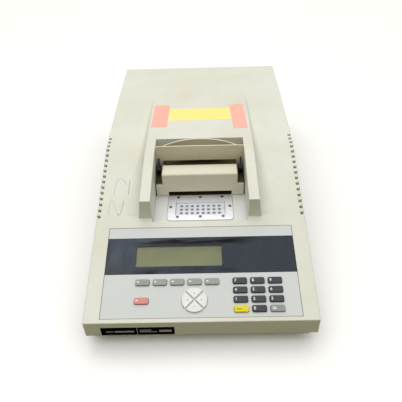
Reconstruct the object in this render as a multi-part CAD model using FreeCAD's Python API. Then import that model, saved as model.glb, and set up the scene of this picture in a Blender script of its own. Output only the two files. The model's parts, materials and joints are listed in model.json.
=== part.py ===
"""Bench-top thermal cycler with a sliding heated lid, built as separate pieces.

Frame: millimetres, +Z up, +Y from the front lip to the rear panel, +X to the right of the person at
the keypad. The origin is on the bench, under the middle of the housing.
"""

import FreeCAD, Part
import math
import os

V = FreeCAD.Vector

# Housing
WIDTH = 326.0
DEPTH = 607.0
FOOT_HEIGHT = 8.0
LIP_BOTTOM = 22.0
LIP_TOP = 50.0
KNEE_Y = -4.8
KNEE_Z = 139.0
DECK_Y = 172.5
DECK_Z = 149.0
WALL = 3.0
SHEET = 2.0
EDGE_ROUND = 1.6

HALF = WIDTH / 2
FRONT = -DEPTH / 2
REAR = DEPTH / 2
PANEL_ANGLE = math.degrees(math.atan2(KNEE_Z - LIP_TOP, KNEE_Y - FRONT))
SKIN = WALL / math.cos(math.radians(PANEL_ANGLE))

# Channel that the lid slides in, and the raised centre around it
CHANNEL_HALF = 75.4
CHANNEL_FRONT = -149.5
CHANNEL_REAR = 6.7
FLOOR_TOP = 83.2
FLOOR_THICK = 2.0
ARM_FRONT = -143.0
ARM_FRONT_TOP = 132.0
ARM_CREASE_Y = -45.5
RIDGE_HALF = 92.0
RIDGE_ROUND = 1.5
RIM_ROUND = 1.2
ARM_DRAFT = 0.123

# Sample block, 3 rows of 8 wells at 9 mm pitch, and the plate that frames it
WELL_PITCH = 9.0
WELL_COLUMNS = 8
WELL_ROWS = 3
WELL_TOP_R = 2.9
WELL_TIP_R = 1.2
WELL_DEPTH = 12.0
BLOCK_Y = -101.4
BLOCK_TOP = 78.1
BLOCK_THICK = 14.0
BLOCK_HALF = 40.4
RECESS_HALF = 40.9
RECESS_FRONT = -122.5
RECESS_REAR = -85.3
PLATE_HALF_X = 53.5
PLATE_HALF_Y = 33.0
PLATE_TOP = 84.15

# Heated lid, drawn in its rear, open place
LID_FRONT = -71.5
LID_REAR = 2.5
LID_TOP = 128.4
LID_CHEEK_TOP = 122.5
LID_TROUGH = 116.2
LID_TROUGH_FLOOR = 1.8
LID_STEP_Y = -38.0
LID_BROW_Y = -48.7
LID_BROW_R = 14.0
LID_ROUND = 3.0
LID_HALF = 63.0
LID_FOOT_HALF = 73.4
LID_FOOT_TOP = 107.0
LID_BOTTOM = 84.4
LID_SLOT_HALF = 53.4
LID_SLOT_TOP = 92.8
LID_WALL = 2.8
RUNNER_BOTTOM = 83.7
RUNNER_TOP = 86.0
PLATEN_TOP = 103.0
FRAME_BOTTOM = 108.4
FRAME_TOP = 110.3

# Lid lever, drawn raised
PIVOT_Y = -37.8
PIVOT_Z = 115.0
PIN_R = 3.0
HUB_R = 5.8
LEVER_HALF = 74.4
LEVER_ARM_INSIDE = 66.8
LEVER_FACE_Y = -23.5
LEVER_LOW = 123.8
LEVER_TOP = 152.3
POCKET_HALF = 66.0
POCKET_RISE_TOP = 25.0
POCKET_RISE_LOW = 17.0
LEVER_WALL = 2.2
LEVER_SKIRT = 110.0
SKIRT_INSIDE = 63.4
LINK_INSIDE = 69.2
LINK_THICK = 2.6

# Control panel, in panel coordinates: x, d up the slope from the lip edge, n out of the slope
PANEL_HALF = 140.25
PANEL_D0 = 5.7
PANEL_D1 = 150.25
PANEL_THICK = 1.6
PANEL_GROOVE = 0.7
STRIP_D0 = 71.9
STRIP_D1 = 131.9
STRIP_THICK = 0.8
GLASS_X0 = -96.5
GLASS_X1 = 32.8
GLASS_D0 = 83.8
GLASS_D1 = 118.4
KEY_WIDTH = 20.0
KEY_DEPTH = 9.4
KEY_HEIGHT = 2.6
KEY_GAP = 0.4
KEY_FLANGE = 0.8
SOFT_KEY_X = -83.4
SOFT_KEY_PITCH = 24.9
SOFT_KEY_D = 58.7
STOP_KEY = (-83.6, 31.1)
PAD_X = -8.9
PAD_D = 31.3
PAD_R = 17.9
PAD_SLIT = 2.3
KEYPAD_X = 56.1
KEYPAD_PITCH_X = 25.05
KEYPAD_D = 17.4
KEYPAD_PITCH_D = 13.9

# Vents, 16 on each side
VENT_COUNT = 16
VENT_FIRST_Y = -139.0
VENT_PITCH = 10.84
VENT_WIDTH = 5.0
VENT_REACH = 6.2

# Rear panel and what it holds
REAR_SHEET = 1.5
REAR_INNER = REAR - WALL
INLET = (-95.0, 58.0)
SWITCH = (-95.0, 98.0)
ROCKER_PIN_R = 1.2
ROCKER_DEEP = 5.0
FAN = (60.0, 77.0)
FAN_SIZE = 80.0
FAN_HOLE_R = 38.5
SERIAL = (-25.0, 60.0)


def box(x0, x1, y0, y1, z0, z1):
    """A block between two corners."""
    return Part.makeBox(x1 - x0, y1 - y0, z1 - z0, V(x0, y0, z0))


def rounded_box(x0, x1, y0, y1, z0, z1, radius):
    """A block with its four upright edges rounded."""
    block = box(x0, x1, y0, y1, z0, z1)
    upright = [e for e in block.Edges if abs(e.tangentAt(e.FirstParameter).z) > 0.9]
    return block.makeFillet(radius, upright)


def pillar(radius, x, y, z0, z1):
    """An upright cylinder."""
    return Part.makeCylinder(radius, z1 - z0, V(x, y, z0))


def rod_x(radius, x0, x1, y, z):
    """A cylinder along X."""
    return Part.makeCylinder(radius, x1 - x0, V(x0, y, z), V(1, 0, 0))


def rod_y(radius, x, y0, y1, z):
    """A cylinder along Y."""
    return Part.makeCylinder(radius, y1 - y0, V(x, y0, z), V(0, 1, 0))


def prism_x(outline, x0, x1):
    """An outline of (y, z) points drawn out along X."""
    points = [V(x0, y, z) for y, z in outline]
    face = Part.Face(Part.makePolygon(points + points[:1]))
    return face.extrude(V(x1 - x0, 0, 0))


def prism_y(outline, y0, y1):
    """An outline of (x, z) points drawn out along Y."""
    points = [V(x, y0, z) for x, z in outline]
    face = Part.Face(Part.makePolygon(points + points[:1]))
    return face.extrude(V(0, y1 - y0, 0))


def join(*shapes):
    """One solid from shapes that touch or overlap."""
    return shapes[0].multiFuse(list(shapes[1:])).removeSplitter()


def cut(shape, *tools):
    """A shape with every tool taken out of it."""
    return shape.cut(list(tools))


def both_sides(make):
    """The same piece on the right (+1) and on the left (-1)."""
    return [make(side) for side in (1, -1)]


def side_box(side, x0, x1, y0, y1, z0, z1):
    """A block that reaches from x0 to x1 on one side of the middle plane."""
    low, high = sorted((side * x0, side * x1))
    return box(low, high, y0, y1, z0, z1)


def on_panel(shape):
    """A shape drawn in panel coordinates, set down on the sloping front."""
    placed = shape.copy()
    slope = FreeCAD.Placement(V(0, FRONT, LIP_TOP), FreeCAD.Rotation(V(1, 0, 0), PANEL_ANGLE))
    placed.Placement = slope.multiply(placed.Placement)
    return placed


def save(name, *shapes):
    """Write one node."""
    whole = shapes[0] if len(shapes) == 1 else Part.makeCompound(list(shapes))
    whole.exportStep("parts/%s.step" % name)


def deck_height(y):
    """Height of the plain deck at y."""
    if y < KNEE_Y:
        return LIP_TOP + (y - FRONT) * (KNEE_Z - LIP_TOP) / (KNEE_Y - FRONT)
    if y < DECK_Y:
        return KNEE_Z + (y - KNEE_Y) * (DECK_Z - KNEE_Z) / (DECK_Y - KNEE_Y)
    return DECK_Z


def arm_height(y):
    """Height of the raised centre at y."""
    if y > ARM_CREASE_Y:
        return DECK_Z
    return ARM_FRONT_TOP + (y - ARM_FRONT) * (DECK_Z - ARM_FRONT_TOP) / (ARM_CREASE_Y - ARM_FRONT)


# ---------------------------------------------------------------- housing


def housing_block():
    """The outside of the housing: lip, front slope, middle slope and flat rear deck."""
    outline = [
        (FRONT, LIP_BOTTOM),
        (FRONT, LIP_TOP),
        (KNEE_Y, KNEE_Z),
        (DECK_Y, DECK_Z),
        (REAR, DECK_Z),
        (REAR, LIP_BOTTOM),
    ]
    block = prism_x(outline, -HALF, HALF)
    crisp = [e for e in block.Edges if is_crisp(e)]
    rounded = [e for e in block.Edges if not any(e.isSame(c) for c in crisp)]
    return block.makeFillet(EDGE_ROUND, rounded)


def is_crisp(edge):
    """The bottom rim and the two gentle folds across the deck stay sharp."""
    middle = edge.CenterOfMass
    at_bottom = middle.z < LIP_BOTTOM + 0.1
    across = abs(middle.x) < 0.1
    on_fold = across and FRONT + 1 < middle.y < REAR - 1
    return at_bottom or on_fold


def housing_hollow():
    """The space inside the housing's walls."""
    front = FRONT + WALL
    rear = REAR - WALL
    bottom = LIP_BOTTOM - 1
    outline = [
        (front, bottom),
        (front, deck_height(front) - SKIN),
        (KNEE_Y, KNEE_Z - SKIN),
        (DECK_Y, DECK_Z - WALL),
        (rear, DECK_Z - WALL),
        (rear, bottom),
    ]
    return prism_x(outline, -HALF + WALL, HALF - WALL)


def raised_centre(inset):
    """The raised middle of the deck, with drafted sides; inset draws it in for the hollow."""
    base = LIP_TOP + 35
    sections = []
    for y in (ARM_FRONT + inset, ARM_CREASE_Y, DECK_Y):
        top = arm_height(y) - inset
        half = RIDGE_HALF - inset
        foot = half + ARM_DRAFT * (top - base)
        corners = [V(-foot, y, base), V(-half, y, top), V(half, y, top), V(foot, y, base)]
        sections.append(Part.makePolygon(corners + corners[:1]))
    return Part.makeLoft(sections, True, True)


def fairing(side):
    """The hollow curve that blends the outside of an arm into the deck: (y, rise, foot x)."""
    stations = [
        (ARM_FRONT, 0.3, 97.5),
        (-136.0, 4.0, 118.5),
        (-110.0, 15.0, 116.8),
        (ARM_CREASE_Y, 20.0, 109.5),
        (KNEE_Y, DECK_Z - KNEE_Z, 103.2),
        (DECK_Y - 2.0, 0.08, 92.6),
    ]
    sections = []
    for y, rise, foot in stations:
        deck = deck_height(y) - 0.05
        root = V(side * (RIDGE_HALF - 1), y, deck - 2)
        high = V(side * (RIDGE_HALF - 1), y, deck + rise)
        low = V(side * foot, y, deck)
        under = V(side * foot, y, deck - 2)
        bend = V(side * (RIDGE_HALF + 0.38 * (foot - RIDGE_HALF)), y, deck + 0.06 * rise)
        curve = Part.BezierCurve()
        curve.setPoles([high, bend, low])
        sections.append(Part.Wire([
            Part.makeLine(root, high), curve.toShape(),
            Part.makeLine(low, under), Part.makeLine(under, root),
        ]))
    return Part.makeLoft(sections, True, True)


def channel_walls(outside):
    """The walls that hang round the lid's channel, open at the foot of the sides for the rails."""
    hung = box(
        -CHANNEL_HALF - WALL, CHANNEL_HALF + WALL,
        CHANNEL_FRONT - WALL, CHANNEL_REAR + WALL,
        FLOOR_TOP + 0.2, DECK_Z,
    )
    rail_gap = box(
        -CHANNEL_HALF - 5, CHANNEL_HALF + 5,
        CHANNEL_FRONT, CHANNEL_REAR,
        FLOOR_TOP - 1, FLOOR_TOP + 5.5,
    )
    return cut(hung.common(outside), rail_gap)


def vent_slots():
    """Cutters for the slots along the deck's side edges."""
    slots = []
    for side in (1, -1):
        for k in range(VENT_COUNT):
            y = VENT_FIRST_Y + k * VENT_PITCH
            deck = deck_height(y)
            slots.append(side_box(
                side, HALF - VENT_REACH, HALF + 1,
                y - VENT_WIDTH / 2, y + VENT_WIDTH / 2,
                deck - 14, deck + 5,
            ))
    return slots


def screw_posts():
    """Posts under the deck that the bottom screws go into."""
    posts = []
    for x in (-145, 145):
        for y, top in ((-284, 54), (284, DECK_Z - 1)):
            post = pillar(5, x, y, FOOT_HEIGHT + SHEET + 0.1, top)
            posts.append(cut(post, pillar(1.5, x, y, 0, FOOT_HEIGHT + 16)))
    return posts


def is_ridge_edge(edge):
    """The long top edges of the raised centre, along its drafted sides."""
    middle = edge.CenterOfMass
    along_side = abs(abs(middle.x) - RIDGE_HALF) < 0.1
    return along_side and middle.y < DECK_Y - 1 and middle.z > ARM_FRONT_TOP


def is_rim_edge(edge):
    """The edges round the mouth of the channel and round the arms' blunt fronts."""
    middle = edge.CenterOfMass
    side = abs(middle.x)
    at_front = abs(middle.y - ARM_FRONT) < 0.1
    on_wall = abs(side - CHANNEL_HALF) < 0.1
    near_top = middle.z > arm_height(middle.y) - 0.6 and ARM_FRONT - 1 < middle.y < CHANNEL_REAR + 1
    inner = on_wall and near_top and edge.Length > 5
    behind = abs(middle.y - CHANNEL_REAR) < 0.1 and abs(middle.z - DECK_Z) < 0.1
    front_top = at_front and abs(middle.z - ARM_FRONT_TOP) < 0.1
    front_inner = at_front and on_wall
    front_outer = at_front and 88 < side < 100 and edge.Length > 20
    return inner or behind or front_top or front_inner or front_outer


def top_cover():
    """The moulded upper shell."""
    centre = raised_centre(0)
    centre = centre.makeFillet(RIDGE_ROUND, [e for e in centre.Edges if is_ridge_edge(e)])
    outside = join(housing_block(), centre, fairing(1), fairing(-1))
    shell = cut(outside, housing_hollow(), raised_centre(WALL))
    shell = join(shell, channel_walls(outside), *screw_posts())
    channel = box(-CHANNEL_HALF, CHANNEL_HALF, CHANNEL_FRONT, CHANNEL_REAR, 60, 200)
    panel_seat = on_panel(box(-PANEL_HALF, PANEL_HALF, PANEL_D0, PANEL_D1, -PANEL_THICK, 9))
    panel_hole = on_panel(box(-134, 134, PANEL_D0 + 6, PANEL_D1 - 6, -9, 1))
    rear_hole = box(-118, 118, REAR_INNER - 1, REAR + 1, 32, 122)
    label_seat = box(-140, -37, FRONT - 1, FRONT + 0.6, LIP_BOTTOM + 0.4, LIP_BOTTOM + 18)
    shell = cut(shell, channel, panel_seat, panel_hole, rear_hole, label_seat)
    shell = shell.makeFillet(RIM_ROUND, [e for e in shell.Edges if is_rim_edge(e)])
    return cut(shell, *vent_slots())


def base_pan():
    """The folded steel tray under the cover, a set-back plinth, with four posts for the channel floor."""
    tray = box(-154, 154, -295, 295, FOOT_HEIGHT, 36)
    hollow = box(-152, 152, -293, 293, FOOT_HEIGHT + SHEET, 40)
    holes = [pillar(2.0, x, y, 0, 20) for x in (-145, 145) for y in (-284, 284)]
    slots = []
    for k in range(12):
        slots.append(box(-40, 40, -150 + 8 * k, -147 + 8 * k, 0, 20))
    floor = FOOT_HEIGHT + SHEET - 0.1
    posts = [pillar(4, x, y, floor, FLOOR_TOP - FLOOR_THICK) for x in (-70, 70) for y in (-143, 0)]
    return join(cut(tray, hollow, *holes, *slots), *posts)


def rubber_feet():
    """Four rubber feet with a screw recess."""
    feet = []
    for x in (-130, 130):
        for y in (-268, 268):
            foot = Part.makeCone(9.5, 11, FOOT_HEIGHT, V(x, y, 0))
            feet.append(cut(foot, pillar(4, x, y, -1, 4)))
    return feet


def case_screws():
    """Four screws that hold the cover to the base pan."""
    screws = []
    for x in (-145, 145):
        for y in (-284, 284):
            head = pillar(3.6, x, y, FOOT_HEIGHT - 2, FOOT_HEIGHT)
            shank = pillar(1.45, x, y, FOOT_HEIGHT - 1, FOOT_HEIGHT + 14)
            socket = box(x - 2.6, x + 2.6, y - 0.5, y + 0.5, FOOT_HEIGHT - 3, FOOT_HEIGHT - 1)
            screws.append(cut(join(head, shank), socket))
    return screws


def name_plate():
    """Two blank black plates side by side on the lip."""
    y0 = FRONT
    y1 = FRONT + 0.6
    z0 = LIP_BOTTOM + 0.6
    z1 = LIP_BOTTOM + 17.8
    return [box(-139.8, -89.6, y0, y1, z0, z1), box(-88.6, -37.2, y0, y1, z0, z1)]


def red_tapes():
    """Two squares of marking tape stuck on the rear deck, one a little askew."""
    left = box(-87, -58.2, 46.5, 128.5, DECK_Z, DECK_Z + 0.2)
    right = box(59.8, 85.6, 37.5, 126.5, DECK_Z, DECK_Z + 0.2)
    left.rotate(V(-72, 88, DECK_Z), V(0, 0, 1), -1.0)
    right.rotate(V(72, 82, DECK_Z), V(0, 0, 1), 2.0)
    return [left, right]


def yellow_tape():
    """A strip of marking tape between the two squares."""
    return box(-57, 58, 69, 113, DECK_Z, DECK_Z + 0.15)


# ---------------------------------------------------------------- channel and cooling


def channel_floor():
    """The plate that the lid slides over, with a window for the sample block."""
    plate = box(
        -CHANNEL_HALF - 3.8, CHANNEL_HALF + 3.8,
        CHANNEL_FRONT + 0.1, CHANNEL_REAR - 0.1,
        FLOOR_TOP - FLOOR_THICK, FLOOR_TOP,
    )
    window = box(
        -RECESS_HALF - 1.8, RECESS_HALF + 1.8,
        RECESS_FRONT - 1.8, RECESS_REAR + 1.8,
        70, 90,
    )
    groove = rounded_box(
        -PLATE_HALF_X - 0.7, PLATE_HALF_X + 0.7,
        BLOCK_Y - PLATE_HALF_Y - 0.7, BLOCK_Y + PLATE_HALF_Y + 0.7,
        FLOOR_TOP - 0.8, FLOOR_TOP + 1, 6.7,
    )
    bed = rounded_box(
        -PLATE_HALF_X, PLATE_HALF_X, BLOCK_Y - PLATE_HALF_Y, BLOCK_Y + PLATE_HALF_Y,
        FLOOR_TOP - 0.9, FLOOR_TOP + 1, 6,
    )
    groove = groove.cut(bed)
    holes = [pillar(1.25, x, y, 70, 90) for x, y in plate_screw_places()]
    return cut(plate, window, groove, *holes)


def plate_screw_places():
    """Where the eight screws of the block's frame plate are."""
    places = [(x, BLOCK_Y + dy) for dy in (-24.6, 24.6) for x in (-36.8, 0, 36.8)]
    return places + [(-48.9, BLOCK_Y), (48.9, BLOCK_Y)]


def guide_rails():
    """Two steel channels at the foot of the side walls, which hold the lid's runners down."""
    def rail(side):
        web = side_box(side, CHANNEL_HALF + 3.9, CHANNEL_HALF + 5.6, CHANNEL_FRONT + 0.2,
                       CHANNEL_REAR - 0.2, FLOOR_TOP - FLOOR_THICK, FLOOR_TOP + 5.4)
        flange = side_box(side, CHANNEL_HALF + 0.3, CHANNEL_HALF + 4, CHANNEL_FRONT + 0.2,
                          CHANNEL_REAR - 0.2, FLOOR_TOP + 3.4, FLOOR_TOP + 5.4)
        return join(web, flange)
    return both_sides(rail)


def block_frame():
    """The silver plate round the sample block, with a collar that reaches down beside it."""
    y0 = BLOCK_Y - PLATE_HALF_Y
    y1 = BLOCK_Y + PLATE_HALF_Y
    plate = rounded_box(-PLATE_HALF_X, PLATE_HALF_X, y0, y1, FLOOR_TOP, PLATE_TOP, 6)
    collar = box(-RECESS_HALF - 1.4, RECESS_HALF + 1.4, RECESS_FRONT - 1.4, RECESS_REAR + 1.4,
                 74, FLOOR_TOP + 0.1)
    opening = box(-RECESS_HALF, RECESS_HALF, RECESS_FRONT, RECESS_REAR, 70, 90)
    holes = [pillar(1.25, x, y, 70, 90) for x, y in plate_screw_places()]
    return cut(join(plate, collar), opening, *holes)


def block_frame_screws():
    """Eight cross-slotted screws of the frame plate."""
    screws = []
    for x, y in plate_screw_places():
        head = pillar(2.4, x, y, PLATE_TOP, PLATE_TOP + 0.8)
        shank = pillar(1.15, x, y, FLOOR_TOP - 6, PLATE_TOP + 0.4)
        slot = box(x - 2.5, x + 2.5, y - 0.3, y + 0.3, PLATE_TOP + 0.4, PLATE_TOP + 2)
        screws.append(cut(join(head, shank), slot))
    return screws


def sample_block():
    """The aluminium block with its 24 tapered tube wells."""
    block = box(-BLOCK_HALF, BLOCK_HALF, RECESS_FRONT + 0.5, RECESS_REAR - 0.5,
                BLOCK_TOP - BLOCK_THICK, BLOCK_TOP)
    wells = []
    for i in range(WELL_COLUMNS):
        for j in range(WELL_ROWS):
            x = (i - (WELL_COLUMNS - 1) / 2) * WELL_PITCH
            y = BLOCK_Y + (j - (WELL_ROWS - 1) / 2) * WELL_PITCH
            foot = V(x, y, BLOCK_TOP - WELL_DEPTH)
            wells.append(Part.makeCone(WELL_TIP_R, WELL_TOP_R, WELL_DEPTH, foot))
    return cut(block, *wells)


def thermoelectric_modules():
    """Two heat pump tiles between the block and the heat sink."""
    top = BLOCK_TOP - BLOCK_THICK
    return both_sides(lambda side: side_box(side, 2, 38, -121, -87, top - 3.9, top))


def heat_sink():
    """Finned heat sink under the heat pumps, hung from the channel floor by four bosses."""
    top = BLOCK_TOP - BLOCK_THICK - 3.9
    base = box(-56, 56, -142, -62, top - 8, top)
    fins = [box(-56 + 8 * k, -53.6 + 8 * k, -142, -62, 26, top - 7.9) for k in range(14)]
    last_fin = box(53.6, 56, -142, -62, 26, top - 7.9)
    bosses = []
    for x in (-51, 51):
        for y in (-137, -67):
            bosses.append(pillar(4, x, y, top - 1, FLOOR_TOP - FLOOR_THICK))
    return join(base, *fins, last_fin, *bosses)


# ---------------------------------------------------------------- heated lid


def lid_housing():
    """The lid's moulded shell: a body on two wide feet, slotted below, with a trough at its rear."""
    outline = [
        (-LID_FOOT_HALF, LID_BOTTOM), (-LID_FOOT_HALF, LID_FOOT_TOP),
        (-LID_HALF, LID_FOOT_TOP), (-LID_HALF, LID_TOP),
        (LID_HALF, LID_TOP), (LID_HALF, LID_FOOT_TOP),
        (LID_FOOT_HALF, LID_FOOT_TOP), (LID_FOOT_HALF, LID_BOTTOM),
    ]
    body = prism_y(outline, LID_FRONT, LID_REAR)
    body = body.makeFillet(LID_ROUND, [e for e in body.Edges if is_lid_top_edge(e)])
    step = box(-90, 90, LID_STEP_Y, LID_REAR + 1, LID_CHEEK_TOP, LID_TOP + 5)
    brow = box(-90, 90, LID_BROW_Y, LID_STEP_Y + 0.5, LID_CHEEK_TOP, LID_TOP + 1)
    brow = brow.cut(rod_x(LID_BROW_R, -91, 91, LID_BROW_Y, LID_TOP - LID_BROW_R))
    front = LID_FRONT + LID_WALL
    rear = LID_REAR - LID_WALL
    inside = LID_HALF - LID_WALL
    hollow_front = box(-inside, inside, front, LID_BROW_Y + 3.5, 80, LID_TOP - LID_WALL)
    hollow_rear = box(-inside, inside, LID_BROW_Y + 2.5, rear, 80, LID_TROUGH - LID_TROUGH_FLOOR)
    trough = box(-inside, inside, LID_STEP_Y, LID_REAR + 1, LID_TROUGH, LID_TOP + 5)
    slot = box(-LID_SLOT_HALF, LID_SLOT_HALF, LID_FRONT - 1, LID_REAR + 1, 80, LID_SLOT_TOP)
    rebates = both_sides(lambda s: side_box(s, 66, 80, front, LID_REAR + 1, 80, RUNNER_TOP))
    pin_holes = rod_x(PIN_R, -80, 80, PIVOT_Y, PIVOT_Z)
    return cut(body, step, brow, trough, hollow_front, hollow_rear, slot, pin_holes, *rebates)


def is_lid_top_edge(edge):
    """The edges round the top of the lid's body, and the upright edges of its front."""
    middle = edge.CenterOfMass
    on_top = middle.z > LID_TOP - 0.1
    body_corner = abs(middle.y - LID_FRONT) < 0.1 and LID_FOOT_TOP + 1 < middle.z
    at_rear = abs(middle.y - LID_REAR) < 0.1
    return (on_top or body_corner) and not at_rear


def lid_runners():
    """Two plastic strips screwed under the lid's feet, which run in the rails."""
    y0 = LID_FRONT + LID_WALL + 0.2
    return both_sides(
        lambda s: side_box(s, 66.2, CHANNEL_HALF + 3.4, y0, LID_REAR - 0.5, RUNNER_BOTTOM, RUNNER_TOP)
    )


def platen_places():
    """Where the heated platen's four guide posts are."""
    return [(x, y) for x in (-42, 42) for y in (-60, -10)]


def lid_frame():
    """The steel plate inside the lid that the platen hangs from."""
    inside = LID_HALF - LID_WALL
    plate = box(-inside, inside, LID_FRONT + LID_WALL, LID_REAR - LID_WALL, FRAME_BOTTOM, FRAME_TOP)
    holes = [pillar(2.6, x, y, 100, 120) for x, y in platen_places()]
    return cut(plate, *holes)


def heated_platen():
    """The aluminium plate that presses the tube caps, with its four guide posts."""
    plate = box(-50, 50, -66, -4, PLATEN_TOP - 6, PLATEN_TOP)
    posts = [pillar(2.5, x, y, PLATEN_TOP - 0.1, PLATEN_TOP + 11) for x, y in platen_places()]
    return join(plate, *posts)


def platen_springs():
    """Four springs round the guide posts, between the platen and the frame."""
    springs = []
    for x, y in platen_places():
        tube = pillar(4.6, x, y, PLATEN_TOP + 0.3, FRAME_BOTTOM - 0.1)
        springs.append(cut(tube, pillar(3.1, x, y, 100, 115)))
    return springs


def lever_pins():
    """Two pins, fixed in the lid's cheeks, that the lever turns on."""
    def pin(side):
        low, high = sorted((side * (LID_HALF - LID_WALL), side * (LEVER_HALF - 0.4)))
        return rod_x(PIN_R, low, high, PIVOT_Y, PIVOT_Z)
    return both_sides(pin)


def pocket(half, y0, rise_low, rise_top, z0, z1):
    """A bow-shaped loft: flat in front and arched behind."""
    sections = []
    for z, rise in ((z0, rise_low), (z1, rise_top)):
        left = V(-half, y0, z)
        right = V(half, y0, z)
        arch = Part.Arc(right, V(0, y0 + rise, z), left).toShape()
        sections.append(Part.Wire([Part.makeLine(left, right), arch]))
    return Part.makeLoft(sections, True, True)


def lid_lever():
    """The bail lever: a flat bar with skirts at its ends and a finger pocket behind it."""
    back = LEVER_FACE_Y + LEVER_WALL
    bar = box(-LEVER_HALF, LEVER_HALF, LEVER_FACE_Y, back, LEVER_LOW, LEVER_TOP)
    bar = bar.makeFillet(0.7, [e for e in bar.Edges if e.CenterOfMass.z > LEVER_TOP - 0.01])
    skirts = both_sides(
        lambda s: side_box(s, SKIRT_INSIDE, LEVER_HALF, LEVER_FACE_Y, back, LEVER_SKIRT, LEVER_LOW + 1)
    )
    shell = pocket(POCKET_HALF, LEVER_FACE_Y, POCKET_RISE_LOW, POCKET_RISE_TOP, LEVER_LOW, LEVER_TOP)
    hollow = pocket(
        POCKET_HALF - 5, back, POCKET_RISE_LOW - 2 * LEVER_WALL, POCKET_RISE_TOP - 2 * LEVER_WALL,
        LEVER_LOW + LEVER_WALL, LEVER_TOP + 0.5,
    )
    return cut(join(bar, shell, *skirts), hollow)


def lever_links():
    """The two steel links that carry the bar: a hub on each pin, and a plate up to the bar's skirt."""
    plate_outline = [
        (PIVOT_Y - 4.6, PIVOT_Z + 3.4), (LEVER_FACE_Y, LEVER_LOW + 5),
        (LEVER_FACE_Y, LEVER_SKIRT + 1), (PIVOT_Y + 4.4, PIVOT_Z - 3.7),
    ]
    def link(side):
        low, high = sorted((side * LINK_INSIDE, side * (LINK_INSIDE + LINK_THICK)))
        hub_low, hub_high = sorted((side * LEVER_ARM_INSIDE, side * (LEVER_HALF - 1)))
        hub = rod_x(HUB_R, hub_low, hub_high, PIVOT_Y, PIVOT_Z)
        bore = rod_x(PIN_R + 0.06, -80, 80, PIVOT_Y, PIVOT_Z)
        return cut(join(prism_x(plate_outline, low, high), hub), bore)
    return both_sides(link)


# ---------------------------------------------------------------- control panel


def key_places():
    """Every rectangular key: name, x and d of its centre."""
    places = {}
    for i in range(5):
        places["soft_key_%d" % (i + 1)] = (SOFT_KEY_X + SOFT_KEY_PITCH * i, SOFT_KEY_D)
    places["stop_key"] = STOP_KEY
    names = [["clear_key", "key_0", "enter_key"]]
    names += [["key_%d" % (3 * row + i + 1) for i in range(3)] for row in range(3)]
    for row, line in enumerate(names):
        for i, name in enumerate(line):
            places[name] = (KEYPAD_X + KEYPAD_PITCH_X * i, KEYPAD_D + KEYPAD_PITCH_D * row)
    return places


def key_block(x, d, grow, n0, n1, radius):
    """A block of a key's outline, grown on every side."""
    half_x = KEY_WIDTH / 2 + grow
    half_d = KEY_DEPTH / 2 + grow
    return rounded_box(x - half_x, x + half_x, d - half_d, d + half_d, n0, n1, radius)


def key_cap(x, d):
    """A key: cap, retaining flange and plunger."""
    cap = key_block(x, d, 0, -3.4, KEY_HEIGHT, 2.2)
    rim = [e for e in cap.Edges if e.CenterOfMass.z > KEY_HEIGHT - 0.01]
    cap = cap.makeFillet(0.7, rim)
    flange = key_block(x, d, 0.9, -4.2, -4.2 + KEY_FLANGE, 2.2)
    plunger = pillar(2, x, d, -5.8, -4.1)
    return on_panel(join(cap, flange, plunger))


def pad_sector(turn, radius, slit, n0, n1):
    """A quarter of the round pad, cut back from its neighbours by half the slit."""
    disc = pillar(radius, 0, 0, n0, n1)
    start = slit / math.sqrt(2)
    reach = 3 * radius
    points = [V(0, start, n0), V(reach, start + reach, n0), V(-reach, start + reach, n0)]
    wedge = Part.Face(Part.makePolygon(points + points[:1])).extrude(V(0, 0, n1 - n0))
    sector = disc.common(wedge)
    sector.rotate(V(0, 0, 0), V(0, 0, 1), turn)
    sector.translate(V(PAD_X, PAD_D, 0))
    return sector


def pad_key(turn):
    """One arrow key of the round pad."""
    cap = pad_sector(turn, PAD_R, PAD_SLIT, -3.4, KEY_HEIGHT)
    rim = [e for e in cap.Edges if e.CenterOfMass.z > KEY_HEIGHT - 0.01]
    cap = cap.makeFillet(0.7, rim)
    flange = pad_sector(turn, PAD_R + 0.9, PAD_SLIT - 0.9, -4.2, -4.2 + KEY_FLANGE)
    angle = math.radians(turn + 90)
    plunger = pillar(2, PAD_X + 10.5 * math.cos(angle), PAD_D + 10.5 * math.sin(angle), -5.8, -4.1)
    return on_panel(join(cap, flange, plunger))


PAD_TURNS = {"arrow_up": 0, "arrow_left": 90, "arrow_down": 180, "arrow_right": 270}


def panel_overlay():
    """The control panel's plate, with a hole for every key and a seat for the dark strip."""
    half = PANEL_HALF - PANEL_GROOVE
    plate = box(-half, half, PANEL_D0 + PANEL_GROOVE, PANEL_D1 - PANEL_GROOVE, -PANEL_THICK, 0)
    seat = box(-half - 1, half + 1, STRIP_D0, STRIP_D1, -STRIP_THICK, 1)
    window = box(GLASS_X0, GLASS_X1, GLASS_D0, GLASS_D1, -5, 1)
    holes = [key_block(x, d, KEY_GAP, -5, 1, 2.6) for x, d in key_places().values()]
    for turn in PAD_TURNS.values():
        holes.append(pad_sector(turn, PAD_R + KEY_GAP, PAD_SLIT - KEY_GAP, -5, 1))
    return on_panel(cut(plate, seat, window, *holes))


def display_strip():
    """The dark glossy strip across the panel, with the display's window."""
    half = PANEL_HALF - PANEL_GROOVE
    strip = box(-half, half, STRIP_D0 + 0.1, STRIP_D1 - 0.1, -STRIP_THICK, 0)
    return on_panel(cut(strip, box(GLASS_X0, GLASS_X1, GLASS_D0, GLASS_D1, -5, 1)))


def lcd_window():
    """The clear sheet under the strip's window."""
    return on_panel(box(GLASS_X0 - 3, GLASS_X1 + 3, GLASS_D0 - 3, GLASS_D1 + 3, -2.6, -PANEL_THICK))


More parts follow.
